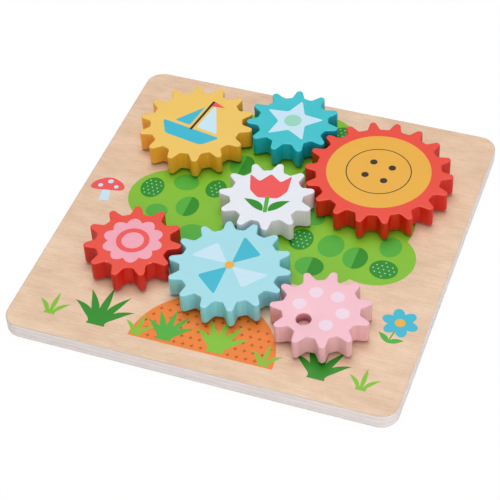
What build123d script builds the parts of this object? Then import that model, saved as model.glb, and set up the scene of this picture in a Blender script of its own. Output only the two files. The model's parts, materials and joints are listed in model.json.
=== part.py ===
"""Wooden gear board: seven painted gears in mesh on a square plywood board.

All sizes are millimetres. The origin is the centre of the board's underside, +Z is up and the
front edge of the board faces -Y. Every gear sits on its own glued peg, over a thin washer that
holds it clear of the board, and lifts straight off. A finger in the blind hole of the pink gear
cranks it round, and the whole train turns with it.
"""

from build123d import *
import math
import os
from dataclasses import dataclass

# Board
BOARD_WIDTH = 228.0
BOARD_DEPTH = 228.0
BOARD_THICKNESS = 10.0
BOARD_CORNER_RADIUS = 10.5
BOARD_EDGE_ROUND = 1.2

# Pegs, glued into blind holes in the board
PEG_DIAMETER = 8.0
PEG_SEAT_DEPTH = 7.0
PEG_TOP_CHAMFER = 1.2
PEG_FOOT_CHAMFER = 0.5

# Washers, loose on the pegs
WASHER_DIAMETER = 20.0
WASHER_THICKNESS = 1.5
WASHER_CLEARANCE = 0.25

# Gears
GEAR_THICKNESS = 12.8
GEAR_EDGE_CHAMFER = 0.7
BORE_CLEARANCE = 0.2
BORE_MOUTH_CHAMFER = 0.8
WOOD_ABOVE_BORE = 3.8
PEG_END_CLEARANCE = 0.6

# Teeth: a round nose, straight flanks that spread towards the root, and a round valley
TOOTH_PITCH = 14.0
TOOTH_ABOVE_PITCH = 3.7
TOOTH_BELOW_PITCH = 3.0
TOOTH_NOSE_RADIUS = 2.2
TOOTH_FLANK_ANGLE = 17.7
TOOTH_VALLEY_RADIUS = 2.0

# Finger hole of the crank gear, a drilled hole with the drill point's cone at its bottom
FINGER_HOLE_DIAMETER = 8.5
FINGER_HOLE_DEPTH = 6.0
FINGER_HOLE_CONE_DEPTH = 0.9
FINGER_HOLE_MOUTH_ROUND = 0.5
FINGER_HOLE_FROM_AXIS = 12.1
FINGER_HOLE_DIRECTION = 236.5

# The large gear is placed from the board's centre, and the others from gear to gear
LARGE_GEAR_X = 56.3
LARGE_GEAR_Y = 50.7
LARGE_GEAR_TURN = 11.0


@dataclass
class MeshedGear:
    """A gear placed by the gear that it meshes with.

    direction is the way from that gear's axis to this one's, in degrees from +X. play is how
    much further apart the two axes are than their pitch circles, and lean is how far this
    gear's teeth lie from the middle of the other's gaps at rest, in tooth pitches.
    """

    name: str
    teeth: int
    meshes_with: str
    direction: float
    play: float
    lean: float


LARGE_GEAR = "large_red_gear"
LARGE_GEAR_TEETH = 18
CRANK_GEAR = "pink_crank_gear"

MESHED_GEARS = [
    MeshedGear("teal_gear", 11, LARGE_GEAR, 155.9, play=4.0, lean=-0.03),
    MeshedGear("yellow_gear", 14, "teal_gear", 198.8, play=3.3, lean=0.034),
    MeshedGear("white_gear", 11, LARGE_GEAR, 214.6, play=3.9, lean=-0.04),
    MeshedGear("light_blue_gear", 14, "white_gear", 268.9, play=3.3, lean=0.1),
    MeshedGear("small_red_gear", 11, "light_blue_gear", 178.5, play=3.5, lean=-0.14),
    MeshedGear(CRANK_GEAR, 11, "light_blue_gear", 344.9, play=5.2, lean=-0.17),
]

# Heights, from the board's underside
WASHER_Z = BOARD_THICKNESS
GEAR_Z = WASHER_Z + WASHER_THICKNESS
GEAR_TOP_Z = GEAR_Z + GEAR_THICKNESS
BORE_DEPTH = GEAR_THICKNESS - WOOD_ABOVE_BORE
PEG_Z = BOARD_THICKNESS - PEG_SEAT_DEPTH
PEG_TOP_Z = GEAR_Z + BORE_DEPTH - PEG_END_CLEARANCE


@dataclass
class PlacedGear:
    """A gear where it stands: its axis, and the angle of one tooth from +X."""

    name: str
    teeth: int
    x: float
    y: float
    turn: float


def pitch_radius(teeth):
    """The radius on which this many teeth stand TOOTH_PITCH apart."""
    return teeth * TOOTH_PITCH / (2 * math.pi)


def in_mesh(driver, gear):
    """Place a gear so that its teeth stand in the driver's gaps, give or take its lean."""
    distance = pitch_radius(driver.teeth) + pitch_radius(gear.teeth) + gear.play
    direction = math.radians(gear.direction)
    past_tooth = (gear.direction - driver.turn) * driver.teeth / 360
    share_of_gap = 0.5 + gear.lean - past_tooth
    turn = gear.direction + 180 - share_of_gap * 360 / gear.teeth
    return PlacedGear(
        gear.name,
        gear.teeth,
        driver.x + distance * math.cos(direction),
        driver.y + distance * math.sin(direction),
        turn % (360 / gear.teeth),
    )


def place_gears():
    """All the gears where they stand, by name."""
    large = PlacedGear(LARGE_GEAR, LARGE_GEAR_TEETH, LARGE_GEAR_X, LARGE_GEAR_Y, LARGE_GEAR_TURN)
    placed = {large.name: large}
    for gear in MESHED_GEARS:
        placed[gear.name] = in_mesh(placed[gear.meshes_with], gear)
    return placed


def gear_profile(gear):
    """The outline of a gear, centred on the origin, with one tooth at its turn."""
    root_radius = pitch_radius(gear.teeth) - TOOTH_BELOW_PITCH
    tip_radius = pitch_radius(gear.teeth) + TOOTH_ABOVE_PITCH
    spread = math.radians(TOOTH_FLANK_ANGLE)
    nose_x = tip_radius - TOOTH_NOSE_RADIUS * (1 - math.sin(spread))
    nose_half = TOOTH_NOSE_RADIUS * math.cos(spread)
    inside_x = root_radius - TOOTH_NOSE_RADIUS
    inside_half = nose_half + (nose_x - inside_x) * math.tan(spread)

    with BuildSketch() as tooth:
        with BuildLine():
            Line((inside_x, -inside_half), (nose_x, -nose_half))
            ThreePointArc((nose_x, -nose_half), (tip_radius, 0), (nose_x, nose_half))
            Line((nose_x, nose_half), (inside_x, inside_half))
            Line((inside_x, inside_half), (inside_x, -inside_half))
        make_face()

    with BuildSketch() as profile:
        Circle(root_radius)
        with PolarLocations(0, gear.teeth, start_angle=gear.turn):
            add(tooth.sketch)
        valley_corners = profile.vertices().filter_by(
            lambda corner: abs(corner.center().length - root_radius) < TOOTH_VALLEY_RADIUS / 10
        )
        fillet(valley_corners, TOOTH_VALLEY_RADIUS)
    return profile.sketch


def make_board(gears):
    """The plywood board, with a blind hole for each peg."""
    with BuildPart() as board:
        with BuildSketch(Plane.XY):
            RectangleRounded(BOARD_WIDTH, BOARD_DEPTH, BOARD_CORNER_RADIUS)
        extrude(amount=BOARD_THICKNESS)
        rims = board.edges().group_by(Axis.Z)
        fillet(rims[0] + rims[-1], BOARD_EDGE_ROUND)
        with Locations(*[(gear.x, gear.y, BOARD_THICKNESS) for gear in gears]):
            Hole(PEG_DIAMETER / 2, depth=PEG_SEAT_DEPTH)
    return board


def make_peg(gear):
    """A dowel, glued in the board, that the gear turns on."""
    with BuildPart() as peg:
        with BuildSketch(Plane.XY.offset(PEG_Z)):
            with Locations((gear.x, gear.y)):
                Circle(PEG_DIAMETER / 2)
        extrude(amount=PEG_TOP_Z - PEG_Z)
        chamfer(peg.edges().group_by(Axis.Z)[-1], PEG_TOP_CHAMFER)
        chamfer(peg.edges().group_by(Axis.Z)[0], PEG_FOOT_CHAMFER)
    return peg


def make_washer(gear):
    """A loose washer between the board and the gear."""
    with BuildPart() as washer:
        with BuildSketch(Plane.XY.offset(WASHER_Z)):
            with Locations((gear.x, gear.y)):
                Circle(WASHER_DIAMETER / 2)
                Circle(PEG_DIAMETER / 2 + WASHER_CLEARANCE, mode=Mode.SUBTRACT)
        extrude(amount=WASHER_THICKNESS)
    return washer


def make_gear(gear):
    """A wooden gear with a blind bore from below, and the finger hole if it is the crank."""
    profile = gear_profile(gear)
    with BuildPart() as blank:
        with BuildSketch(Plane((gear.x, gear.y, GEAR_Z))):
            add(profile)
        extrude(amount=GEAR_THICKNESS)
        rims = blank.edges().group_by(Axis.Z)
        chamfer(rims[0] + rims[-1], GEAR_EDGE_CHAMFER)

        with BuildSketch(Plane((gear.x, gear.y, GEAR_Z))):
            Circle(PEG_DIAMETER / 2 + BORE_CLEARANCE)
        extrude(amount=BORE_DEPTH, mode=Mode.SUBTRACT)
        bore_mouth = blank.edges().sort_by_distance((gear.x, gear.y, GEAR_Z))[0]
        chamfer(bore_mouth, BORE_MOUTH_CHAMFER)

        if gear.name == CRANK_GEAR:
            direction = math.radians(FINGER_HOLE_DIRECTION)
            hole_x = gear.x + FINGER_HOLE_FROM_AXIS * math.cos(direction)
            hole_y = gear.y + FINGER_HOLE_FROM_AXIS * math.sin(direction)
            with Locations((hole_x, hole_y, GEAR_TOP_Z)):
                Hole(FINGER_HOLE_DIAMETER / 2, depth=FINGER_HOLE_DEPTH)
            with Locations((hole_x, hole_y, GEAR_TOP_Z - FINGER_HOLE_DEPTH)):
                Cone(
                    0,
                    FINGER_HOLE_DIAMETER / 2,
                    FINGER_HOLE_CONE_DEPTH,
                    align=(Align.CENTER, Align.CENTER, Align.MAX),
                    mode=Mode.SUBTRACT,
                )
            hole_mouth = blank.edges().sort_by_distance((hole_x, hole_y, GEAR_TOP_Z))[0]
            fillet(hole_mouth, FINGER_HOLE_MOUTH_ROUND)
    return blank


def save(built, label):
    """Label a finished piece and write its STEP file."""
    built.part.label = label
    export_step(built.part, f"parts/{label}.step")


os.makedirs("parts", exist_ok=True)
gears = place_gears()

save(make_board(gears.values()), "base_board")
for gear in gears.values():
    save(make_peg(gear), gear.name.replace("_gear", "_peg"))
    save(make_washer(gear), gear.name.replace("_gear", "_washer"))
    save(make_gear(gear), gear.name)
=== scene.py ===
"""Looks of the wooden gear toy: painted gears and a printed plywood board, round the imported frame.

Everything is in metres, in the frame's own axes. The gears are modelled again with round edges
where their solids stand; the board, pegs and washers keep their solids and get their finishes.
"""

import json
import math

import bmesh
import bpy
from mathutils import Matrix, Vector
from mathutils.geometry import delaunay_2d_cdt


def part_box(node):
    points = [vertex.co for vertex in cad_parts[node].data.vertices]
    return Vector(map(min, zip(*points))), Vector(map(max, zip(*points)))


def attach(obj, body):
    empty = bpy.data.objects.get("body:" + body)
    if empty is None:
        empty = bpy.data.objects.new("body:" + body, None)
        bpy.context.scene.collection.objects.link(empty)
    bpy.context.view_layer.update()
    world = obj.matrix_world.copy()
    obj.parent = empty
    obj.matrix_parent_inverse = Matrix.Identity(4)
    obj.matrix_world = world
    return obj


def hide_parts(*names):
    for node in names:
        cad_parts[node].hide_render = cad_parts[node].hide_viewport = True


bl_info = {
    "name": "Wooden Gear Toy",
    "version": (1, 0, 0),
    "blender": (4, 5, 0),
    "location": "View3D > Sidebar > Gear Toy",
    "description": "Paints and prints the gears and the board of a wooden gear toy",
    "category": "Object",
}

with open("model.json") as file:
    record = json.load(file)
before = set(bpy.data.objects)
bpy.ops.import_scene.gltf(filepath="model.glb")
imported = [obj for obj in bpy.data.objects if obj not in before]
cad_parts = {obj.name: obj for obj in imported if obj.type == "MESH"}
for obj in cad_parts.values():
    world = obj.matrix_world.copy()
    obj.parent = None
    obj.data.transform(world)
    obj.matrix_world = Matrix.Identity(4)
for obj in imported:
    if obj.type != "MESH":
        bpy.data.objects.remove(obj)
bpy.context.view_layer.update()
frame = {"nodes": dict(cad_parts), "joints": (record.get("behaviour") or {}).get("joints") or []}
JOINTS = {joint["name"]: joint for joint in frame["joints"]}
BOARD_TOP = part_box("base_board")[1].z
GEAR_LOW, GEAR_TOP = (corner.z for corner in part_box("large_red_gear"))
MM = 0.001

GEAR_TEETH = {
    "large_red": 18,
    "yellow": 14,
    "light_blue": 14,
    "teal": 11,
    "white": 11,
    "small_red": 11,
    "pink_crank": 11,
}


def srgb(red, green, blue):
    """The linear colour of these display levels."""

    def linear(level):
        share = level / 255
        return share / 12.92 if share <= 0.04045 else ((share + 0.055) / 1.055) ** 2.4

    return (linear(red), linear(green), linear(blue), 1.0)


def colour(name, description, red, green, blue):
    """A colour that the user can change, given in display levels of 0 to 255."""
    return bpy.props.FloatVectorProperty(
        name=name,
        description=description,
        subtype="COLOR",
        size=4,
        min=0,
        max=1,
        default=srgb(red, green, blue),
    )


def length(name, description, millimetres, lowest=0.0):
    """A length that the user can change, given in millimetres and kept in metres."""
    return bpy.props.FloatProperty(
        name=name,
        description=description,
        subtype="DISTANCE",
        unit="LENGTH",
        min=lowest,
        precision=5,
        default=millimetres * MM,
    )


def angle(name, description, degrees):
    """An angle that the user can change, given in degrees and kept in radians."""
    return bpy.props.FloatProperty(
        name=name, description=description, subtype="ANGLE", default=math.radians(degrees)
    )


def number(name, description, default):
    """A plain number that the user can change."""
    return bpy.props.FloatProperty(name=name, description=description, default=default)


# Settings


class GearShape(bpy.types.PropertyGroup):
    """Sizes of the gear blanks."""

    tooth_height: length("Tooth height", "From a valley to a tip", 6.7)
    nose_radius: length("Nose radius", "Round end of a tooth", 2.2)
    flank_angle: angle("Flank angle", "Lean of a flank from the tooth's middle line", 17.7)
    valley_radius: length("Valley radius", "Round corner at a tooth's root", 2.0)
    edge_round: length("Edge round", "Sanded round on the top and bottom edges", 0.6)
    bore_radius: length("Bore radius", "Blind bore for the peg", 4.2)
    bore_depth: length("Bore depth", "From the gear's underside", 9.0)
    bore_chamfer: length("Bore chamfer", "At the bore's mouth", 0.8)
    hole_radius: length("Finger hole radius", "Blind hole of the crank gear", 4.25)
    hole_depth: length("Finger hole depth", "From the gear's top", 6.0)
    hole_cone: length("Finger hole cone", "Mark of the drill's point", 0.9)
    hole_round: length("Finger hole round", "At the hole's mouth", 0.5)
    hole_offset: length("Finger hole offset", "From the gear's axis", 12.1)
    hole_direction: angle("Finger hole direction", "From +X at rest", 236.5)


class Paints(bpy.types.PropertyGroup):
    """Paint on the gears."""

    # Each *_side colour is a second copy of the paint above it. It is set lighter, darker or warmer
    # to stand for how light and bounce fall on the gear's upright faces: painted light and shade on
    # the sides, not a different paint.
    red: colour("Red", "Tops of the large and small red gears", 226, 66, 46)
    red_side: colour("Red side", "Where end grain takes more paint", 214, 24, 6)
    yellow: colour("Yellow", "Top of the yellow gear", 231, 190, 90)
    yellow_side: colour("Yellow side", "Where end grain takes more paint", 252, 179, 50)
    teal: colour("Teal", "Top of the teal gear", 50, 187, 197)
    teal_side: colour("Teal side", "Where end grain takes more paint", 4, 178, 200)
    white: colour("White", "Top of the white gear", 222, 225, 232)
    white_side: colour("White side", "Where end grain takes more paint", 240, 228, 236)
    light_blue: colour("Light blue", "Top of the light blue gear", 156, 212, 223)
    light_blue_side: colour("Blue side", "Where end grain takes more paint", 138, 222, 234)
    pink: colour("Pink", "Top of the crank gear", 235, 183, 195)
    pink_side: colour("Pink side", "Where end grain takes more paint", 242, 188, 194)
    hole: colour("Finger hole", "Drilled wall at its mouth", 230, 164, 171)
    # Painted shade: the finger hole's wall darkens to this colour towards its floor, where little
    # light reaches.
    hole_foot: colour("Finger hole foot", "Drilled wall at its foot", 174, 104, 107)
    hole_floor: colour("Finger hole floor", "Drilled end grain of the floor", 226, 166, 169)
    worn: colour("Worn", "Wood that shows where an edge is rubbed", 244, 222, 200)
    wear: number("Wear", "How readily an edge is rubbed", 0.02)
    small_red_wear: number("Small red wear", "The same on the small red gear", 0.12)


class Inks(bpy.types.PropertyGroup):
    """Printing inks."""

    layer: length("Layer", "Thickness of one coat of ink", 0.02)
    lime: colour("Lime", "Meadow and small tufts", 124, 184, 36)
    green: colour("Green", "Mid green shrubs and tufts", 72, 167, 46)
    dark_green: colour("Dark green", "Dark shrubs and tufts", 24, 134, 4)
    orange: colour("Orange", "Mound", 230, 122, 34)
    rust: colour("Rust", "Small marks on the mound", 170, 64, 14)
    amber: colour("Amber", "Disc on the large gear", 227, 169, 60)
    blue: colour("Blue", "Blue motifs", 52, 178, 202)
    pale_blue: colour("Pale blue", "Pale motifs", 193, 222, 237)
    pale_green: colour("Pale green", "Middle of the star, and small dots", 146, 208, 186)
    coral: colour("Coral", "Coral motifs", 232, 80, 80)
    rose: colour("Rose", "Rosette", 234, 161, 177)
    lilac: colour("Lilac", "Dots on the crank gear", 234, 208, 223)
    brown: colour("Brown", "Thin dark marks", 48, 30, 22)


class BoardFinish(bpy.types.PropertyGroup):
    """Finish of the plywood and of the bare wood."""

    light: colour("Light wood", "Between the grain lines", 232, 204, 176)
    dark: colour("Dark wood", "Grain lines", 205, 168, 136)
    wash: colour("Edge wash", "White wash on the board's sides", 252, 243, 240)
    ply: colour("Ply line", "Glue lines in the board's sides", 178, 158, 150)
    beech: colour("Beech", "Pegs, washers and bores", 230, 192, 150)
    beech_dark: colour("Beech grain", "Flecks of the beech", 200, 152, 108)
    plies: bpy.props.IntProperty(name="Plies", description="Layers of veneer", default=6, min=3)


class StageSettings(bpy.types.PropertyGroup):
    """Camera and lamps."""

    azimuth: angle("Azimuth", "Camera's way round from the front edge", 22.1)
    elevation: angle("Elevation", "Camera's height above the board", 45.62)
    roll: angle("Roll", "Camera's tilt", -3.35)
    distance: length("Distance", "From the camera to the point it looks at", 928.2)
    lens: number("Lens", "Focal length in millimetres on a 36 mm sensor", 116.3)
    target_x: length("Target X", "Point that the camera looks at", 0.59, -1.0)
    target_y: length("Target Y", "Point that the camera looks at", -19.97, -1.0)
    lamp_distance: length("Lamp distance", "From a lamp to the camera's target", 1800)
    lamp_size: length("Lamp size", "Side of a square lamp", 1200)
    key_azimuth: angle("Key azimuth", "Way round of the large lamp above the toy", 202)
    key_elevation: angle("Key elevation", "Height of the large lamp", 76)
    key_power: number("Key power", "Watts of the large lamp", 18.4)
    fill_azimuth: angle("Fill azimuth", "Way round of the low lamp in front", 40)
    fill_elevation: angle("Fill elevation", "Height of the low lamp", 16)
    fill_power: number("Fill power", "Watts of the low lamp", 10.0)
    overhead: number("Overhead light", "Strength of the surroundings from straight above", 0.86)
    level_light: number("Level light", "Strength of the surroundings from the sides", 0.15)
    floor_glow: number("Floor glow", "Share of the floor that shines white at the camera", 0.97)


# Node trees


def put(tree, kind, at, inputs=None, **settings):
    """Add a node at a place in the tree, with its settings and its sockets' values or links."""
    node = tree.nodes.new(kind)
    node.location = at
    for name, value in settings.items():
        setattr(node, name, value)
    for name, value in (inputs or {}).items():
        if isinstance(value, bpy.types.NodeSocket):
            tree.links.new(value, node.inputs[name])
        else:
            node.inputs[name].default_value = value
    return node


def math_node(tree, at, operation, *values):
    """The output of a Math node on up to three values or sockets."""
    inputs = dict(enumerate(values))
    return put(tree, "ShaderNodeMath", at, inputs, operation=operation).outputs[0]


def mix_colours(tree, at, factor, first, second):
    """The output of a colour Mix node."""
    first_socket, second_socket, result_socket = 6, 7, 2
    inputs = {0: factor, first_socket: first, second_socket: second}
    node = put(tree, "ShaderNodeMix", at, inputs, data_type="RGBA")
    return node.outputs[result_socket]


def mix_numbers(tree, at, factor, first, second):
    """The output of a Mix node for numbers."""
    first_socket, second_socket = 2, 3
    inputs = {0: factor, first_socket: first, second_socket: second}
    return put(tree, "ShaderNodeMix", at, inputs).outputs[0]


def clamped_sum(tree, at, first, second):
    """The sum of two values, kept between 0 and 1."""
    inputs = {0: first, 1: second}
    node = put(tree, "ShaderNodeMath", at, inputs, operation="ADD", use_clamp=True)
    return node.outputs[0]


def smooth_step(tree, at, value, low, high):
    """0 below low, 1 above high, and a smooth rise between them."""
    inputs = {"Value": value, "From Min": low, "From Max": high}
    node = put(tree, "ShaderNodeMapRange", at, inputs, interpolation_type="SMOOTHSTEP")
    return node.outputs["Result"]


def stretched_noise(tree, at, vector, stretch, detail=3.0, roughness=0.5):
    """Noise from a vector in metres, with so many features in a metre along each axis."""
    mapping = put(tree, "ShaderNodeMapping", at, {"Vector": vector, "Scale": stretch})
    inputs = {
        "Vector": mapping.outputs["Vector"],
        "Scale": 1.0,
        "Detail": detail,
        "Roughness": roughness,
    }
    return put(tree, "ShaderNodeTexNoise", (at[0] + 180, at[1]), inputs).outputs["Fac"]


def new_group(name, inputs, outputs):
    """An empty shader node group with named sockets, and its input and output nodes."""
    group = bpy.data.node_groups.new(name, "ShaderNodeTree")
    for in_out, sockets in (("INPUT", inputs), ("OUTPUT", outputs)):
        for socket, kind in sockets.items():
            group.interface.new_socket(name=socket, in_out=in_out, socket_type=f"NodeSocket{kind}")
    entry = put(group, "NodeGroupInput", (-900, 0))
    leave = put(group, "NodeGroupOutput", (1100, 0))
    return group, entry.outputs, leave.inputs


def wood_grain_group():
    """Growth lines, fine streaks and short flecks that run along the vector's X."""
    group, entry, leave = new_group(
        "Wood grain",
        {"Vector": "Vector", "Light": "Color", "Dark": "Color", "Contrast": "Float"},
        {"Color": "Color", "Height": "Float", "Tone": "Float"},
    )
    vector = entry["Vector"]
    growth_size, streak_size = (7, 30, 30), (70, 1100, 1100)
    cloud_size, fleck_size = (34, 60, 60), (420, 1700, 1700)
    growth_lines = 60.0
    line_share, streak_share, cloud_share, fleck_share = 0.045, 0.8, 0.9, 0.35
    fleck_start, fleck_full = 0.60, 0.72
    mean_tone, mean_shade = 0.84, 0.4

    broad = stretched_noise(group, (-700, 300), vector, growth_size, 3.0)
    lines = math_node(group, (-320, 300), "MULTIPLY", broad, growth_lines)
    lines = math_node(group, (-140, 300), "SINE", lines)
    lines = math_node(group, (40, 300), "MULTIPLY", lines, line_share)
    streaks = stretched_noise(group, (-700, 60), vector, streak_size, 4.0, 0.65)
    clouds = stretched_noise(group, (-700, -180), vector, cloud_size, 4.0, 0.6)
    flecks = stretched_noise(group, (-700, -420), vector, fleck_size, 2.0)
    flecks = smooth_step(group, (-320, -420), flecks, fleck_start, fleck_full)
    tone = math_node(group, (40, 60), "MULTIPLY_ADD", streaks, streak_share, lines)
    tone = math_node(group, (220, 60), "MULTIPLY_ADD", clouds, cloud_share, tone)
    tone = math_node(group, (400, 60), "MULTIPLY_ADD", flecks, fleck_share, tone)
    centred = math_node(group, (580, 60), "SUBTRACT", tone, mean_tone)
    scaled = math_node(group, (580, -100), "MULTIPLY", centred, entry["Contrast"])
    shade = clamped_sum(group, (760, -100), scaled, mean_shade)
    mixed = mix_colours(group, (900, 60), shade, entry["Light"], entry["Dark"])
    group.links.new(mixed, leave["Color"])
    group.links.new(streaks, leave["Height"])
    group.links.new(shade, leave["Tone"])


def paint_group():
    """Brushed and sanded paint: soft mottling, tool marks on upright faces and rubbed edges."""
    group, entry, leave = new_group(
        "Gear paint",
        {"Vector": "Vector"}
        | dict.fromkeys(("Paint", "Side", "Worn"), "Color")
        | dict.fromkeys(("Upright", "Rim", "Wear"), "Float"),
        {"Color": "Color", "Roughness": "Float", "Height": "Float"},
    )
    vector = entry["Vector"]
    mottle_size, grain_size = (70, 70, 70), (60, 1400, 1400)
    mark_size, chip_size = (520, 520, 9), (340, 340, 340)
    base_level, mottle_share, mark_share, grain_share = 0.97, 0.06, 0.34, 0.03
    chip_start, chip_full = 0.71, 0.74
    least_rough, rough_share = 0.30, 0.22
    mark_height, mottle_height, chip_height = 1.6, 0.8, -0.8

    mottle = stretched_noise(group, (-700, 400), vector, mottle_size, 4.0, 0.6)
    grain = stretched_noise(group, (-700, 160), vector, grain_size, 3.0)
    marks = stretched_noise(group, (-700, -80), vector, mark_size, 3.0, 0.65)
    chips = stretched_noise(group, (-700, -320), vector, chip_size, 3.0, 0.7)

    marks = math_node(group, (-320, -80), "SUBTRACT", marks, 0.5)
    marks = math_node(group, (-140, -80), "MULTIPLY", marks, entry["Upright"])
    level = math_node(group, (40, 400), "MULTIPLY_ADD", mottle, mottle_share, base_level)
    level = math_node(group, (220, 400), "MULTIPLY_ADD", marks, mark_share, level)
    level = math_node(group, (400, 400), "MULTIPLY_ADD", grain, grain_share, level)
    # Upright faces take the Side colour, which is painted light and shade of the sides.
    coat = mix_colours(group, (400, 560), entry["Upright"], entry["Paint"], entry["Side"])
    shaded = put(group, "ShaderNodeVectorMath", (580, 300), {0: coat}, operation="SCALE")
    group.links.new(level, shaded.inputs["Scale"])

    rubbed = math_node(group, (-140, -320), "MULTIPLY", chips, entry["Rim"])
    rubbed = math_node(group, (-60, -440), "ADD", rubbed, entry["Wear"])
    rubbed = smooth_step(group, (120, -320), rubbed, chip_start, chip_full)
    worn = mix_colours(group, (760, 200), rubbed, shaded.outputs["Vector"], entry["Worn"])
    group.links.new(worn, leave["Color"])

    rough = math_node(group, (580, -100), "MULTIPLY_ADD", mottle, rough_share, least_rough)
    group.links.new(rough, leave["Roughness"])
    height = math_node(group, (400, -260), "MULTIPLY_ADD", marks, mark_height, grain)
    height = math_node(group, (580, -260), "MULTIPLY_ADD", mottle, mottle_height, height)
    height = math_node(group, (760, -260), "MULTIPLY_ADD", rubbed, chip_height, height)
    group.links.new(height, leave["Height"])


def ply_edge_group(plies):
    """White-washed veneers of a plywood edge, stacked from 0 to 1 with a thin line between."""
    group, entry, leave = new_group(
        "Ply edge",
        {"Vector": "Vector", "Stack": "Float", "Wash": "Color", "Line": "Color"},
        {"Color": "Color", "Height": "Float"},
    )
    vector = entry["Vector"]
    wobble_size, strand_size, blotch_size = (30, 30, 30), (110, 110, 1500), (45, 45, 160)
    wobble_share, strand_share, blotch_share = 0.35, 0.5, 0.24
    line_start, line_full, line_share = 0.36, 0.48, 0.30
    layer_blur, layer_share = 0.3, 0.10
    least_cover = -0.27

    wobble = stretched_noise(group, (-700, 200), vector, wobble_size, 2.0)
    strands = stretched_noise(group, (-700, -60), vector, strand_size, 4.0, 0.65)
    blotches = stretched_noise(group, (-700, -320), vector, blotch_size, 3.0)
    stack = math_node(group, (-320, 200), "MULTIPLY", entry["Stack"], plies)
    stack = math_node(group, (-140, 200), "MULTIPLY_ADD", wobble, wobble_share, stack)
    across = math_node(group, (40, 200), "FRACT", stack)
    across = math_node(group, (220, 200), "SUBTRACT", across, 0.5)
    across = math_node(group, (400, 200), "ABSOLUTE", across)
    line = smooth_step(group, (580, 200), across, line_start, line_full)
    line = math_node(group, (760, 200), "MULTIPLY", line, line_share)
    layer = math_node(group, (40, 400), "MULTIPLY", stack, math.pi)
    layer = math_node(group, (220, 400), "SINE", layer)
    layer = smooth_step(group, (400, 400), layer, -layer_blur, layer_blur)
    line = math_node(group, (760, 400), "MULTIPLY_ADD", layer, layer_share, line)
    strands = math_node(group, (580, -60), "MULTIPLY_ADD", strands, strand_share, least_cover)
    cover = math_node(group, (760, -60), "MULTIPLY_ADD", blotches, blotch_share, strands)
    shade = clamped_sum(group, (900, 60), line, cover)
    mixed = mix_colours(group, (960, -160), shade, entry["Wash"], entry["Line"])
    group.links.new(mixed, leave["Color"])
    dip = math_node(group, (960, -320), "MULTIPLY", shade, -1.0)
    group.links.new(dip, leave["Height"])


def group_node(tree, at, name, inputs):
    """A node group placed in a material, with its own values."""
    return put(tree, "ShaderNodeGroup", at, inputs, node_tree=bpy.data.node_groups[name])


def grain_node(tree, at, vector, light, dark, contrast):
    """The wood grain placed in a material."""
    inputs = {"Vector": vector, "Light": light, "Dark": dark, "Contrast": contrast}
    return group_node(tree, at, "Wood grain", inputs)


def new_material(name):
    """The node tree of a new material, its Principled BSDF and the object's coordinates."""
    material = bpy.data.materials.new(name)
    material.use_nodes = True
    tree = material.node_tree
    shader = tree.nodes["Principled BSDF"]
    shader.location = (500, 0)
    tree.nodes["Material Output"].location = (800, 0)
    place = put(tree, "ShaderNodeTexCoord", (-900, 0)).outputs["Object"]
    return tree, shader, place


def bump(tree, shader, height, millimetres):
    """Feed a height to the shader's normal as relief so many millimetres deep."""
    inputs = {"Height": height, "Distance": millimetres * MM}
    node = put(tree, "ShaderNodeBump", (250, -300), inputs)
    tree.links.new(node.outputs["Normal"], shader.inputs["Normal"])


def facing_up(tree, at):
    """The upward part of the true surface normal, from -1 to 1."""
    normal = put(tree, "ShaderNodeNewGeometry", at).outputs["Normal"]
    beside = (at[0] + 180, at[1])
    return put(tree, "ShaderNodeSeparateXYZ", beside, {0: normal}).outputs["Z"]


def paint_material(name, paint, side, worn, wear, foot=None):
    """Satin paint over sanded wood.

    foot is painted shade in a recess: a colour, and the two heights between which the sides darken
    to it on the way down.
    """
    level_at, upright_at = 0.7, 0.2
    tree, shader, place = new_material(name)
    if foot:
        # Painted shade: the sides darken towards the foot of the recess.
        shade_colour, high, low = foot
        height = put(tree, "ShaderNodeSeparateXYZ", (-700, 300), {0: place}).outputs["Z"]
        depth = smooth_step(tree, (-520, 300), height, high, low)
        side = mix_colours(tree, (-340, 300), depth, side, shade_colour)
    up = math_node(tree, (-520, -200), "ABSOLUTE", facing_up(tree, (-900, -200)))
    upright = smooth_step(tree, (-340, -200), up, level_at, upright_at)
    rim = put(tree, "ShaderNodeAttribute", (-520, -380), attribute_name="rim").outputs["Fac"]
    inputs = {"Vector": place, "Paint": paint, "Side": side, "Worn": worn}
    inputs |= {"Upright": upright, "Rim": rim, "Wear": wear}
    coat = group_node(tree, (-100, 0), "Gear paint", inputs)
    tree.links.new(coat.outputs["Color"], shader.inputs["Base Color"])
    tree.links.new(coat.outputs["Roughness"], shader.inputs["Roughness"])
    shader.inputs["Specular IOR Level"].default_value = 0.5
    bump(tree, shader, coat.outputs["Height"], 0.05)


def wood_material(name, light, dark, turn):
    """Bare wood, with its grain along X before the turn."""
    tree, shader, place = new_material(name)
    turned = put(tree, "ShaderNodeMapping", (-520, 0), {"Vector": place, "Rotation": turn})
    grain = grain_node(tree, (-100, 0), turned.outputs[0], light, dark, 1.3)
    tree.links.new(grain.outputs["Color"], shader.inputs["Base Color"])
    shader.inputs["Roughness"].default_value = 0.55
    bump(tree, shader, grain.outputs["Height"], 0.04)


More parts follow.
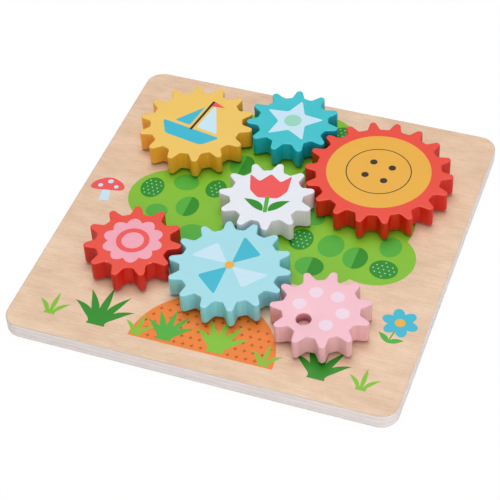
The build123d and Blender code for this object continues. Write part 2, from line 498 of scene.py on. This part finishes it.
def board_material(finish):
    """Varnished veneer on the two faces, washed veneer edges on the sides and a thin dark seam
    between them.
    """
    face_start, face_full = 0.72, 0.90
    seam_start, seam_full, seam_fades, seam_end = 0.30, 0.48, 0.62, 0.80
    seam_share = 0.65
    edge_rough, face_rough_change = 0.68, -0.22
    tree, shader, place = new_material("Printed plywood")
    grain = grain_node(tree, (-300, 200), place, finish.light, finish.dark, 1.5)
    height = put(tree, "ShaderNodeSeparateXYZ", (-700, -200), {0: place}).outputs["Z"]
    stack = math_node(tree, (-500, -200), "DIVIDE", height, BOARD_TOP)
    inputs = {"Vector": place, "Stack": stack, "Wash": finish.wash, "Line": finish.ply}
    edge = group_node(tree, (-300, -200), "Ply edge", inputs)
    up = math_node(tree, (-520, -500), "ABSOLUTE", facing_up(tree, (-900, -500)))
    face = smooth_step(tree, (-300, -500), up, face_start, face_full)
    mixed = mix_colours(tree, (0, 100), face, edge.outputs["Color"], grain.outputs["Color"])
    above_side = smooth_step(tree, (-300, -700), up, seam_start, seam_full)
    near_face = smooth_step(tree, (-300, -900), up, seam_fades, seam_end)
    seam = math_node(tree, (-100, -700), "SUBTRACT", above_side, near_face)
    seam = math_node(tree, (80, -700), "MULTIPLY", seam, seam_share)
    mixed = mix_colours(tree, (200, 100), seam, mixed, finish.dark)
    tree.links.new(mixed, shader.inputs["Base Color"])
    rough = math_node(tree, (0, -100), "MULTIPLY_ADD", face, face_rough_change, edge_rough)
    tree.links.new(rough, shader.inputs["Roughness"])
    relief = mix_numbers(tree, (0, -300), face, edge.outputs["Height"], grain.outputs["Height"])
    bump(tree, shader, relief, 0.05)


def ink_material(name, ink, finish):
    """Screen-printed ink that lets a little of the grain beneath it show."""
    lightest, grain_share = 1.04, -0.09
    tree, shader, place = new_material(name)
    grain = grain_node(tree, (-500, 0), place, finish.light, finish.dark, 1.0)
    tone = grain.outputs["Tone"]
    tone = math_node(tree, (-200, -100), "MULTIPLY_ADD", tone, grain_share, lightest)
    shaded = put(tree, "ShaderNodeVectorMath", (0, 0), {0: ink[:3]}, operation="SCALE")
    tree.links.new(tone, shaded.inputs["Scale"])
    tree.links.new(shaded.outputs["Vector"], shader.inputs["Base Color"])
    shader.inputs["Roughness"].default_value = 0.42
    shader.inputs["Specular IOR Level"].default_value = 0.4
    bump(tree, shader, grain.outputs["Height"], 0.03)


# Meshes


def to_object(bm, name, *materials):
    """Close a bmesh into a smooth-shaded object with these materials."""
    sharp_from = math.radians(35)
    bmesh.ops.recalc_face_normals(bm, faces=bm.faces)
    mesh = bpy.data.meshes.new(name)
    bm.to_mesh(mesh)
    bm.free()
    for material in materials:
        mesh.materials.append(material)
    mesh.shade_smooth()
    mesh.set_sharp_from_angle(angle=sharp_from)
    piece = bpy.data.objects.new(name, mesh)
    bpy.context.scene.collection.objects.link(piece)
    return piece


def ring_edges(bm, ring):
    """The edges once round a ring of vertices."""
    pairs = zip(ring, ring[1:] + ring[:1])
    return [bm.edges.get(pair) or bm.edges.new(pair) for pair in pairs]


def bridge(bm, lower, upper, material=0):
    """Faces between two rings of as many vertices."""
    count = len(lower)
    for k in range(count):
        after = (k + 1) % count
        face = bm.faces.new((lower[k], lower[after], upper[after], upper[k]))
        face.material_index = material


def circle_ring(bm, centre, radius, z):
    """A ring of vertices on a level circle."""
    steps = 48
    turns = [2 * math.pi * k / steps for k in range(steps)]
    return [
        bm.verts.new((centre.x + radius * math.cos(a), centre.y + radius * math.sin(a), z))
        for a in turns
    ]


def flat_fill(bm, rings, up):
    """A flat face inside the first ring, with the other rings as holes."""
    edges = [edge for ring in rings for edge in ring_edges(bm, ring)]
    bmesh.ops.triangle_fill(bm, use_beauty=True, edges=edges, normal=(0, 0, up))


def tooth_line(teeth, tip, shape):
    """Points and outward normals once round a gear, with one tooth on +X."""
    nose_steps, valley_steps, root_steps = 9, 7, 3
    root = tip - shape.tooth_height
    spread = shape.flank_angle
    flank_normal = Vector((math.sin(spread), math.cos(spread)))
    nose_centre = Vector((tip - shape.nose_radius, 0))
    flank_start = nose_centre + shape.nose_radius * flank_normal
    valley_reach = root + shape.valley_radius
    sine = (flank_start.dot(flank_normal) + shape.valley_radius) / valley_reach
    valley_angle = math.asin(sine) - spread
    valley_centre = valley_reach * Vector((math.cos(valley_angle), math.sin(valley_angle)))

    half = []
    for k in range(nose_steps + 1):
        turn = (math.pi / 2 - spread) * k / nose_steps
        normal = Vector((math.cos(turn), math.sin(turn)))
        half.append((nose_centre + shape.nose_radius * normal, normal))
    first, last = -math.pi / 2 - spread, valley_angle - math.pi
    for k in range(valley_steps + 1):
        turn = first + (last - first) * k / valley_steps
        away = Vector((math.cos(turn), math.sin(turn)))
        half.append((valley_centre + shape.valley_radius * away, -away))
    for k in range(1, root_steps + 1):
        turn = valley_angle + (math.pi / teeth - valley_angle) * k / root_steps
        normal = Vector((math.cos(turn), math.sin(turn)))
        half.append((root * normal, normal))

    flip = Vector((1, -1))
    tooth = [(point * flip, normal * flip) for point, normal in reversed(half[1:])]
    tooth += half[:-1]
    line = []
    for k in range(teeth):
        spin = Matrix.Rotation(2 * math.pi * k / teeth, 2)
        line += [(spin @ point, spin @ normal) for point, normal in tooth]
    return line


def gear_place(name):
    """A gear's centre, tip radius, and the angle of one of its teeth, from the frame."""
    centre = Vector(JOINTS[f"{name}_spin"]["pos_m"])
    teeth = GEAR_TEETH[name]
    spots = [vertex.co - centre for vertex in frame["nodes"][f"{name}_gear"].data.vertices]
    tip = max(spot.xy.length for spot in spots)
    outer = [math.atan2(spot.y, spot.x) for spot in spots if spot.xy.length > tip - MM]
    sine = sum(math.sin(teeth * a) for a in outer)
    cosine = sum(math.cos(teeth * a) for a in outer)
    return centre, tip, math.atan2(sine, cosine) / teeth


def painted_top():
    """The height of the gears' painted tops, which leaves room for the ink on them."""
    most_coats = 3
    return GEAR_TOP - most_coats * bpy.context.scene.gear_toy_inks.layer


def edge_profile(low, high, radius):
    """(inset, height, how much it is an edge) up the side of a blank with round edges."""
    steps = 5
    flat_margin = 0.5 * MM
    lower = []
    for k in range(steps + 1):
        turn = math.pi / 2 * k / steps
        inset = radius * (1 - math.sin(turn))
        lower.append((inset, radius * (1 - math.cos(turn)), math.sin(2 * turn)))
    lower.insert(0, (radius + flat_margin, 0.0, 0.0))
    up_side = [(inset, low + rise, rim) for inset, rise, rim in lower]
    down_side = [(inset, high - rise, rim) for inset, rise, rim in reversed(lower)]
    return up_side + down_side


def build_gear(name, shape, paint, wood, hollow):
    """One gear with round edges, a blind bore below and the crank's finger hole above."""
    centre, tip, turn = gear_place(name)
    line = tooth_line(GEAR_TEETH[name], tip, shape)
    spin = Matrix.Rotation(turn, 2)
    line = [(spin @ point, spin @ normal) for point, normal in line]
    top = painted_top()

    bm = bmesh.new()
    rim_layer = bm.verts.layers.float.new("rim")
    rings = []
    for inset, z, rim in edge_profile(GEAR_LOW, top, shape.edge_round):
        ring = []
        for point, normal in line:
            spot = centre.xy + point - inset * normal
            vertex = bm.verts.new((spot.x, spot.y, z))
            vertex[rim_layer] = rim
            ring.append(vertex)
        rings.append(ring)
    for lower, upper in zip(rings, rings[1:]):
        bridge(bm, lower, upper)

    mouth = circle_ring(bm, centre, shape.bore_radius + shape.bore_chamfer, GEAR_LOW)
    throat = circle_ring(bm, centre, shape.bore_radius, GEAR_LOW + shape.bore_chamfer)
    ceiling = circle_ring(bm, centre, shape.bore_radius, GEAR_LOW + shape.bore_depth)
    bridge(bm, mouth, throat, 1)
    bridge(bm, throat, ceiling, 1)
    bm.faces.new(ceiling).material_index = 1
    flat_fill(bm, [rings[0], mouth], -1)

    holes = []
    if name == "pink_crank":
        holes = [finger_hole(bm, centre, top, shape)]
    flat_fill(bm, [rings[-1]] + holes, 1)
    return to_object(bm, f"{name}_gear_painted", paint, wood, hollow)


def finger_hole(bm, gear_centre, top, shape):
    """The walls and floor of the crank's blind hole. Gives the ring at its mouth."""
    round_steps = 4
    inner_share = 0.3
    across = Vector((math.cos(shape.hole_direction), math.sin(shape.hole_direction)))
    centre = gear_centre.xy + shape.hole_offset * across
    rings = []
    for k in range(round_steps + 1):
        turn = math.pi / 2 * k / round_steps
        radius = shape.hole_radius + shape.hole_round * (1 - math.sin(turn))
        rings.append(circle_ring(bm, centre, radius, top - shape.hole_round * (1 - math.cos(turn))))
    floor_z = GEAR_TOP - shape.hole_depth
    rings.append(circle_ring(bm, centre, shape.hole_radius, floor_z))
    inner_z = floor_z - shape.hole_cone * (1 - inner_share)
    rings.append(circle_ring(bm, centre, shape.hole_radius * inner_share, inner_z))
    for k, (outer, inner) in enumerate(zip(rings, rings[1:])):
        bridge(bm, outer, inner, 0 if k < round_steps - 1 else 2)
    point = bm.verts.new((centre.x, centre.y, floor_z - shape.hole_cone))
    last = rings[-1]
    for first, second in zip(last, last[1:] + last[:1]):
        bm.faces.new((first, second, point)).material_index = 2
    return rings[0]


# Flat shapes for printing, in millimetres


def disc(x, y, radius, steps=40):
    """A round dot."""
    return ellipse(x, y, radius, radius, steps=steps)


def ellipse(x, y, half_width, half_height, lean=0.0, steps=56):
    """An ellipse, leaning by some degrees."""
    cosine, sine = math.cos(math.radians(lean)), math.sin(math.radians(lean))
    points = []
    for k in range(steps):
        a = 2 * math.pi * k / steps
        u, v = half_width * math.cos(a), half_height * math.sin(a)
        points.append((x + u * cosine - v * sine, y + u * sine + v * cosine))
    return points


def hoop(x, y, outer, inner):
    """A flat ring, in two halves."""
    return [
        arc(x, y, outer, first, first + 180, 48) + arc(x, y, inner, first + 180, first, 48)
        for first in (0, 180)
    ]


def scallops(x, y, radius, count, depth):
    """A disc with a scalloped edge."""
    steps_each = 10
    points = []
    for k in range(count * steps_each):
        a = 2 * math.pi * k / (count * steps_each)
        reach = radius - depth + depth * abs(math.cos(count * a / 2))
        points.append((x + reach * math.cos(a), y + reach * math.sin(a)))
    return points


def star(x, y, outer, inner, count):
    """A pointed star."""
    points = []
    for k in range(2 * count):
        a = math.pi / 2 + math.pi * k / count
        reach = inner if k % 2 else outer
        points.append((x + reach * math.cos(a), y + reach * math.sin(a)))
    return points


def blade(x, y, length_mm, width, lean, bend, foot=0.0):
    """A blade that rises from a point, leaning and bending by some degrees.

    foot is the width at its lower end, as a share of the width of its middle.
    """
    steps = 14
    widest_low = 0.8
    left, right = [], []
    for k in range(steps + 1):
        share = k / steps
        heading = math.radians(90 + lean + bend * (share - 0.5))
        spine_x = x + length_mm * share * math.cos(heading)
        spine_y = y + length_mm * share * math.sin(heading)
        half = width / 2 * max(math.sin(math.pi * share**widest_low), foot * (1 - share))
        left.append((spine_x - half * math.sin(heading), spine_y + half * math.cos(heading)))
        right.append((spine_x + half * math.sin(heading), spine_y - half * math.cos(heading)))
    return right + left[::-1]


def tuft(x, y, height, blades, spread):
    """A fan of blades that grow out of one low mound. Its sizes are shares of its height."""
    mound, shorter, apart, lifted, width = 0.2, 0.26, 0.10, 0.06, 0.17
    bend, foot = 24, 0.9
    shapes = [arc(x, y, height * mound, 0, 180, 16)]
    for k in range(blades):
        share = k / (blades - 1) * 2 - 1
        reach = height * (1 - shorter * share**2)
        start = (x + share * height * apart, y + height * lifted)
        shapes.append(blade(*start, reach, height * width, -share * spread, -share * bend, foot))
    return shapes


def arc(x, y, radius, first, last, steps=24):
    """Points along an arc, between two angles in degrees."""
    turns = [math.radians(first + (last - first) * k / steps) for k in range(steps + 1)]
    return [(x + radius * math.cos(a), y + radius * math.sin(a)) for a in turns]


def dots_in(x, y, half_width, half_height, gap, radius):
    """Staggered dots that stay inside an upright ellipse."""
    row_step, inside = 0.87, 0.66
    shapes = []
    rows = int(half_height / gap) + 1
    columns = int(half_width / gap) + 1
    for row in range(-rows, rows + 1):
        for column in range(-columns, columns + 1):
            u = (column + 0.5 * (row % 2)) * gap
            v = row * gap * row_step
            if (u / half_width) ** 2 + (v / half_height) ** 2 < inside:
                shapes.append(disc(x + u, y + v, radius, 12))
    return shapes


def soften(corners, reach):
    """The same outline with each corner rounded off over this reach."""
    steps = 6
    points = []
    count = len(corners)
    for k in range(count):
        before, here, after = (Vector(corners[(k + j) % count]) for j in (-1, 0, 1))
        start = here + (before - here).normalized() * min(reach, (before - here).length / 2)
        end = here + (after - here).normalized() * min(reach, (after - here).length / 2)
        for step in range(steps + 1):
            t = step / steps
            point = (1 - t) ** 2 * start + 2 * t * (1 - t) * here + t**2 * end
            points.append((point.x, point.y))
    return points


def move(shapes, x=0.0, y=0.0, turn=0.0):
    """The same shapes turned about the origin by some degrees, and then shifted."""
    spin = Matrix.Rotation(math.radians(turn), 2)
    moved = []
    for shape in shapes:
        turned = [spin @ Vector(point) for point in shape]
        moved.append([(point.x + x, point.y + y) for point in turned])
    return moved


def join_shapes(shapes):
    """Points and triangles that cover these outlines once, also where they overlap."""
    points, outlines = [], []
    for shape in shapes:
        outlines.append(list(range(len(points), len(points) + len(shape))))
        points += [Vector(point) for point in shape]
    inside_only, tolerance = 1, 1e-4
    joined = delaunay_2d_cdt(points, [], outlines, inside_only, tolerance)
    return joined[0], joined[2]


def print_shapes(name, shapes, ink, floor, coats, centre=(0.0, 0.0)):
    """A thin closed layer of ink in these shapes, on a surface, so many coats high."""
    layer = bpy.context.scene.gear_toy_inks.layer
    sunk_coats = 0.5
    low, high = floor - sunk_coats * layer, floor + coats * layer
    points, triangles = join_shapes(shapes)
    spots = [(centre[0] + point.x * MM, centre[1] + point.y * MM) for point in points]
    bm = bmesh.new()
    under = [bm.verts.new((x, y, low)) for x, y in spots]
    over = [bm.verts.new((x, y, high)) for x, y in spots]
    sides = {}
    for a, b, c in triangles:
        bm.faces.new((under[c], under[b], under[a]))
        bm.faces.new((over[a], over[b], over[c]))
        sides.update(dict.fromkeys(((a, b), (b, c), (c, a))))
    for a, b in sides:
        if (b, a) not in sides:
            bm.faces.new((under[a], under[b], over[b], over[a]))
    return to_object(bm, name, ink)


def lay_print(name, layers, floor, body, centre=(0.0, 0.0)):
    """Print layers of (coats, ink name, shapes) on a surface of a body."""
    for coats, ink, shapes in layers:
        material = bpy.data.materials[f"Ink {ink}"]
        piece_name = f"{name}_{ink}_coat{coats}"
        piece = print_shapes(piece_name, shapes, material, floor, coats, centre)
        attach(piece, body)


# Operators


class GEARTOY_OT_finishes(bpy.types.Operator):
    """Make the node groups and the materials"""

    bl_idname = "geartoy.finishes"
    bl_label = "Make Finishes"

    def execute(self, context):
        paints = context.scene.gear_toy_paints
        inks = context.scene.gear_toy_inks
        finish = context.scene.gear_toy_board
        wood_grain_group()
        paint_group()
        ply_edge_group(finish.plies)
        # The side colours are painted light and shade on each gear's upright faces.
        for name in ("red", "yellow", "teal", "white", "light_blue", "pink"):
            top, side = getattr(paints, name), getattr(paints, f"{name}_side")
            paint_material(f"Paint {name}", top, side, paints.worn, paints.wear)
        red, side = paints.red, paints.red_side
        paint_material("Paint small red", red, side, paints.worn, paints.small_red_wear)
        floor_z = GEAR_TOP - context.scene.gear_toy_gears.hole_depth
        # Painted shade in the finger hole: its wall darkens from the mouth down to the floor.
        foot = (paints.hole_foot, GEAR_TOP, floor_z)
        paint_material("Paint finger hole", paints.hole_floor, paints.hole, paints.worn, 0.0, foot)
        for name in inks.__annotations__:
            if name != "layer":
                ink_material(f"Ink {name}", getattr(inks, name), finish)
        board_material(finish)
        upright, askew = (0, math.pi / 2, 0), (0, 0, 0.4)
        wood_material("Turned beech", finish.beech, finish.beech_dark, upright)
        wood_material("Sawn beech", finish.beech, finish.beech_dark, askew)
        return {"FINISHED"}


class GEARTOY_OT_board(bpy.types.Operator):
    """Give the board its veneer and washed edge"""

    bl_idname = "geartoy.board"
    bl_label = "Finish Board"

    def execute(self, context):
        board = frame["nodes"]["base_board"]
        board.material_slots[0].material = bpy.data.materials["Printed plywood"]
        return {"FINISHED"}


class GEARTOY_OT_pegs(bpy.types.Operator):
    """Give the pegs and washers their bare beech"""

    bl_idname = "geartoy.pegs"
    bl_label = "Finish Pegs and Washers"

    def execute(self, context):
        for name in GEAR_TEETH:
            for part, wood in (("peg", "Turned beech"), ("washer", "Sawn beech")):
                node = frame["nodes"][f"{name}_{part}"]
                node.material_slots[0].material = bpy.data.materials[wood]
        return {"FINISHED"}


class GEARTOY_OT_gears(bpy.types.Operator):
    """Model the seven painted gears with round edges"""

    bl_idname = "geartoy.gears"
    bl_label = "Build Gears"

    def execute(self, context):
        shape = context.scene.gear_toy_gears
        paints = {"large_red": "red", "small_red": "small red", "pink_crank": "pink"}
        wood = bpy.data.materials["Turned beech"]
        hollow = bpy.data.materials["Paint finger hole"]
        for name in GEAR_TEETH:
            paint = bpy.data.materials[f"Paint {paints.get(name, name)}"]
            gear = build_gear(name, shape, paint, wood, hollow)
            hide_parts(f"{name}_gear")
            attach(gear, f"{name}_gear_body")
        return {"FINISHED"}


class GEARTOY_OT_board_print(bpy.types.Operator):
    """Print the meadow, the mound and the small motifs on the board"""

    bl_idname = "geartoy.board_print"
    bl_label = "Print Board"

    def execute(self, context):
        lobes = [
            (-58, 7, 27, 24),
            (-46, 32, 24, 22),
            (-24, 66, 26, 30),
            (8, 82, 24, 22),
            (30, 56, 30, 34),
            (-4, 22, 44, 40),
            (52, 22, 34, 34),
            (70, -4, 24, 22),
            (34, -12, 32, 26),
            (-24, -10, 36, 22),
        ]
        meadow = [ellipse(x, y, wide, high, steps=80) for x, y, wide, high in lobes]

        shrubs = [
            (-73, 12, 7.0, 8.6, "dotted"),
            (-55, 22, 7.8, 6.8, "plain"),
            (-47, 3, 6.8, 8.4, "split"),
            (-63, -6, 6.6, 6.0, "plain"),
            (-36, 22, 6.2, 7.6, "dotted"),
            (-36, -17, 8.4, 7.2, "plain"),
            (-28, 46, 7.4, 9.0, "split"),
            (-19, 28, 6.8, 6.0, "plain"),
            (26, -3, 7.0, 8.6, "dotted"),
            (37, -22, 8.4, 7.4, "split"),
            (44, -3, 7.6, 9.0, "plain"),
            (60, -8, 7.2, 8.6, "split"),
            (78, -12, 8.2, 7.2, "dotted"),
            (77, 6, 6.4, 8.0, "plain"),
            (28, 16, 6.2, 6.2, "plain"),
            (22, 89, 6.8, 8.4, "dotted"),
            (16, 50, 7.2, 8.6, "dotted"),
        ]
        green = [ellipse(*shrub[:4]) for shrub in shrubs]
        split = [shrub[:4] for shrub in shrubs if shrub[4] == "split"]
        dotted = [shrub[:4] for shrub in shrubs if shrub[4] == "dotted"]
        right_half = arc(0, 0, 1, -90, 90, 24)
        dark = [[(x + w * u, y + h * v) for u, v in right_half] for x, y, w, h in split]
        dark += [ellipse(*shrub) for shrub in dotted]
        dots = [dot for shrub in dotted for dot in dots_in(*shrub, 3.1, 0.5)]

        mound_y, mound_radius, mound_border = -101, 42, 2.5
        mound = arc(0, mound_y, mound_radius, 0, 180, 60)
        marks = []
        spacing = 5.2
        for row in range(8):
            for column in range(-8, 9):
                u = (column + 0.5 * (row % 2)) * spacing
                v = (row + 0.55) * spacing
                if math.hypot(u, v) < mound_radius - mound_border:
                    marks.append(star(u, v + mound_y, 1.6, 0.5, 4))

        tall_dark = tuft(-62, -100, 27, 5, 38) + tuft(66, -100, 25, 5, 36)
        tall_green = tuft(-22, -99, 22, 5, 34)
        low_lime = tuft(-90, -100, 16, 3, 30) + tuft(91, -100, 15, 3, 30)
        mound_lime = tuft(-38, -100, 15, 3, 30) + tuft(8, -99, 24, 5, 34)
        mound_lime += tuft(36, -100, 15, 3, 30)

        mushroom = {"x": -97, "y": -7, "turn": 10}
        cap = soften([(-11, 9), (-9.6, 15.6), (0, 21), (9.6, 15.6), (11, 9)], 5)
        stem = soften([(-3.2, 0), (3.2, 0), (2.2, 9.4), (-2.2, 9.4)], 1.2)
        spots = [disc(-4.6, 12.6, 1.5, 20), disc(0.9, 16.4, 1.7, 20), disc(5.2, 12.0, 1.4, 20)]

        flower = {"x": 98, "y": -48, "turn": -10}
        petals = [
            ellipse(*point, 4.5, 3.3, lean, 32)
            for lean, point in zip(range(0, 360, 60), arc(0, 0, 6.0, 0, 300, 5))
        ]
        stalk = [(-0.45, -16), (0.45, -16), (0.45, -6), (-0.45, -6)]
        leaves = [blade(0.3, -16, 9, 3.4, -46, -20), blade(-0.3, -16, 9, 3.4, 46, 20)]

        layers = [
            (1, "lime", meadow + low_lime),
            (2, "green", green),
            (1, "green", move([stalk] + leaves, **flower)),
            (3, "dark_green", dark),
            (1, "dark_green", tall_dark),
            (1, "orange", [mound]),
            (2, "rust", marks),
            (3, "lime", mound_lime),
            (4, "green", tall_green),
            (4, "pale_green", dots),
            (2, "coral", move([cap], **mushroom)),
            (1, "pale_blue", move([stem], **mushroom)),
            (3, "pale_blue", move(spots, **mushroom)),
            (2, "blue", move(petals, **flower)),
            (3, "amber", [disc(flower["x"], flower["y"], 2.9, 24)]),
        ]
        lay_print("board", layers, BOARD_TOP, "base")
        return {"FINISHED"}


class GEARTOY_OT_gear_prints(bpy.types.Operator):
    """Print a motif on the top of each gear"""

    bl_idname = "geartoy.gear_prints"
    bl_label = "Print Gears"

    def execute(self, context):
        hull = soften([(-20, -6), (-12.5, -16.5), (12.5, -16.5), (20, -6)], 2.5)
        mast = soften([(-0.8, -7), (0.8, -7), (0.8, 22), (-0.8, 22)], 0.6)
        main_sail = soften([(2.4, -3.6), (16.5, -3.6), (2.4, 20)], 1.6)
        jib = soften([(-2.4, -3.6), (-2.4, 15), (-13, -3.6)], 1.6)
        pennant = soften([(0.8, 22), (0.8, 17.2), (9, 19.6)], 0.8)
        vane = soften([(0.7, 1.6), (14.6, 12.2), (0.7, 23.6)], 2.2)
        cup = [(-12.4, 13.4), (-11, 0), (-6, -6), (6, -6), (11, 0), (12.4, 13.4), (6.2, 7.6)]
        cup = soften(cup + [(0, 14.4), (-6.2, 7.6)], 1.8)
        stem = soften([(-1.2, -18), (1.2, -18), (1.2, -5), (-1.2, -5)], 0.8)
        leaves = [blade(1.8, -17, 15, 5.4, -40, -22), blade(-1.8, -17, 15, 5.4, 40, 22)]
        button_holes = [disc(*point, 2.2, 28) for point in arc(0, 0, 8.5, 36, 306, 3)]

        prints = {
            "yellow": [
                (1, "blue", move([hull, jib], turn=-10)),
                (1, "pale_blue", move([main_sail], turn=-10)),
                (2, "brown", move([mast], turn=-10)),
                (3, "coral", move([pennant], turn=-10)),
            ],
            "teal": [
                (1, "pale_blue", [soften(star(0, 0, 18.8, 8.8, 5), 1.6)]),
                (2, "pale_green", [disc(0, 0, 5.3)]),
            ],
            "large_red": [
                (1, "amber", [disc(0, 0, 30.9, 128)]),
                (2, "brown", hoop(0, 0, 19.4, 18.8) + button_holes),
            ],
            "white": [
                (1, "coral", move([cup], y=4, turn=12)),
                (2, "green", move([stem], y=4, turn=12)),
                (3, "dark_green", move(leaves, y=4, turn=12)),
            ],
            "small_red": [
                (1, "rose", [scallops(0, 0, 17.5, 10, 3.2)]),
                (2, "coral", hoop(0, 0, 9.6, 6.4)),
            ],
            "light_blue": [
                (1, "blue", move([vane]) + move([vane], turn=180)),
                (1, "pale_blue", move([vane], turn=90) + move([vane], turn=270)),
                (2, "amber", [disc(0, 0, 2.8)]),
            ],
            "pink_crank": [
                (1, "lilac", [disc(*point, 3.9) for point in arc(0, 0, 12.3, -60, 180, 4)]),
            ],
        }
        for name, layers in prints.items():
            centre = JOINTS[f"{name}_spin"]["pos_m"][:2]
            lay_print(name, layers, painted_top(), f"{name}_gear_body", centre)
        return {"FINISHED"}


class GEARTOY_OT_stage(bpy.types.Operator):
    """Set the floor, the lamps, the surroundings and the camera"""

    bl_idname = "geartoy.stage"
    bl_label = "Set Stage"

    def execute(self, context):
        stage = context.scene.gear_toy_stage
        target = Vector((stage.target_x, stage.target_y, BOARD_TOP))
        self.add_floor(stage)
        self.add_world(context, stage)
        for name in ("key", "fill"):
            self.add_lamp(context, stage, target, name)
        self.add_camera(context, stage, target)
        context.scene.view_settings.view_transform = "Standard"
        return {"FINISHED"}

    @staticmethod
    def direction(azimuth, elevation):
        """The way from the toy to a camera or lamp; azimuth 0 is in front of it."""
        level, rise = math.cos(elevation), math.sin(elevation)
        return Vector((math.sin(azimuth) * level, -math.cos(azimuth) * level, rise))

    def add_floor(self, stage):
        """A pale floor that shows white to the camera and still takes a soft shadow."""
        radius, drop = 6.0, 0.05 * MM
        bm = bmesh.new()
        bmesh.ops.create_circle(bm, cap_ends=True, segments=96, radius=radius)
        bmesh.ops.translate(bm, verts=bm.verts, vec=(0, 0, -drop))
        material = bpy.data.materials.new("Studio floor")
        material.use_nodes = True
        tree = material.node_tree
        tree.nodes.clear()
        rays = put(tree, "ShaderNodeLightPath", (-400, 200))
        camera, glossy = rays.outputs["Is Camera Ray"], rays.outputs["Is Glossy Ray"]
        seen = math_node(tree, (-200, 200), "MAXIMUM", camera, glossy)
        share = math_node(tree, (0, 200), "MULTIPLY", seen, stage.floor_glow)
        matte = put(tree, "ShaderNodeBsdfDiffuse", (0, 0), {"Color": (0.86, 0.86, 0.86, 1)})
        glow = put(tree, "ShaderNodeEmission", (0, -200), {"Color": (1, 1, 1, 1)})
        inputs = {0: share, 1: matte.outputs[0], 2: glow.outputs[0]}
        mixed = put(tree, "ShaderNodeMixShader", (200, 0), inputs)
        put(tree, "ShaderNodeOutputMaterial", (400, 0), {"Surface": mixed.outputs[0]})
        floor = to_object(bm, "Studio_floor", material)

    def add_world(self, context, stage):
        """White to the camera, and soft light on the toy that is strongest from above."""
        falloff = 2.0
        world = bpy.data.worlds.new("Studio")
        world.use_nodes = True
        tree = world.node_tree
        background = tree.nodes["Background"]
        way = put(tree, "ShaderNodeTexCoord", (-900, -200)).outputs["Generated"]
        height = put(tree, "ShaderNodeSeparateXYZ", (-700, -200), {0: way}).outputs["Z"]
        height = math_node(tree, (-500, -200), "MAXIMUM", height, 0.0)
        height = math_node(tree, (-500, -400), "POWER", height, falloff)
        gain = stage.overhead - stage.level_light
        soft = math_node(tree, (-300, -200), "MULTIPLY_ADD", height, gain, stage.level_light)
        rays = put(tree, "ShaderNodeLightPath", (-300, 100))
        strength = mix_numbers(tree, (-100, 0), rays.outputs["Is Camera Ray"], soft, 1.0)
        tree.links.new(strength, background.inputs["Strength"])
        background.inputs["Color"].default_value = (1, 1, 1, 1)
        context.scene.world = world

    def add_lamp(self, context, stage, target, name):
        """The square soft lamp of this name, facing the toy."""
        data = bpy.data.lights.new(name.capitalize(), "AREA")
        data.energy = getattr(stage, f"{name}_power")
        data.size = stage.lamp_size
        lamp = bpy.data.objects.new(name.capitalize(), data)
        azimuth, elevation = getattr(stage, f"{name}_azimuth"), getattr(stage, f"{name}_elevation")
        way = self.direction(azimuth, elevation)
        lamp.location = target + stage.lamp_distance * way
        lamp.rotation_euler = way.to_track_quat("Z", "Y").to_euler()
        context.scene.collection.objects.link(lamp)

    def add_camera(self, context, stage, target):
        """The camera at the photograph's viewing angle."""
        data = bpy.data.cameras.new("Camera")
        data.sensor_fit = "HORIZONTAL"
        data.sensor_width = 36
        data.lens = stage.lens
        back = self.direction(stage.azimuth, stage.elevation)
        right = Vector((0, 0, 1)).cross(back).normalized()
        up = back.cross(right)
        side = math.cos(stage.roll) * right + math.sin(stage.roll) * up
        rise = -math.sin(stage.roll) * right + math.cos(stage.roll) * up
        camera = bpy.data.objects.new("Camera", data)
        turn = Matrix((side, rise, back)).transposed().to_4x4()
        camera.matrix_world = Matrix.Translation(target + stage.distance * back) @ turn
        context.scene.collection.objects.link(camera)
        context.scene.camera = camera


class GEARTOY_PT_panel(bpy.types.Panel):
    """Lists the steps that dress the gear toy"""

    bl_idname = "GEARTOY_PT_panel"
    bl_label = "Gear Toy"
    bl_space_type = "VIEW_3D"
    bl_region_type = "UI"
    bl_category = "Gear Toy"

    def draw(self, context):
        for step in OPERATORS:
            self.layout.operator(step.bl_idname)


SETTINGS = {
    "gear_toy_gears": GearShape,
    "gear_toy_paints": Paints,
    "gear_toy_inks": Inks,
    "gear_toy_board": BoardFinish,
    "gear_toy_stage": StageSettings,
}
OPERATORS = (
    GEARTOY_OT_stage,
    GEARTOY_OT_finishes,
    GEARTOY_OT_board,
    GEARTOY_OT_pegs,
    GEARTOY_OT_gears,
    GEARTOY_OT_board_print,
    GEARTOY_OT_gear_prints,
)


def register():
    """Make the settings, the steps and the panel known to Blender."""
    for name, settings in SETTINGS.items():
        bpy.utils.register_class(settings)
        setattr(bpy.types.Scene, name, bpy.props.PointerProperty(type=settings))
    for step in OPERATORS:
        bpy.utils.register_class(step)
    bpy.utils.register_class(GEARTOY_PT_panel)


def unregister():
    """Take the panel, the steps and the settings away again."""
    bpy.utils.unregister_class(GEARTOY_PT_panel)
    for step in reversed(OPERATORS):
        bpy.utils.unregister_class(step)
    for name, settings in SETTINGS.items():
        delattr(bpy.types.Scene, name)
        bpy.utils.unregister_class(settings)


def main():
    """Dress the toy."""
    register()
    bpy.ops.geartoy.stage()
    bpy.ops.geartoy.finishes()
    bpy.ops.geartoy.board()
    bpy.ops.geartoy.pegs()
    bpy.ops.geartoy.gears()
    bpy.ops.geartoy.board_print()
    bpy.ops.geartoy.gear_prints()


if __name__ == "__main__":
    main()
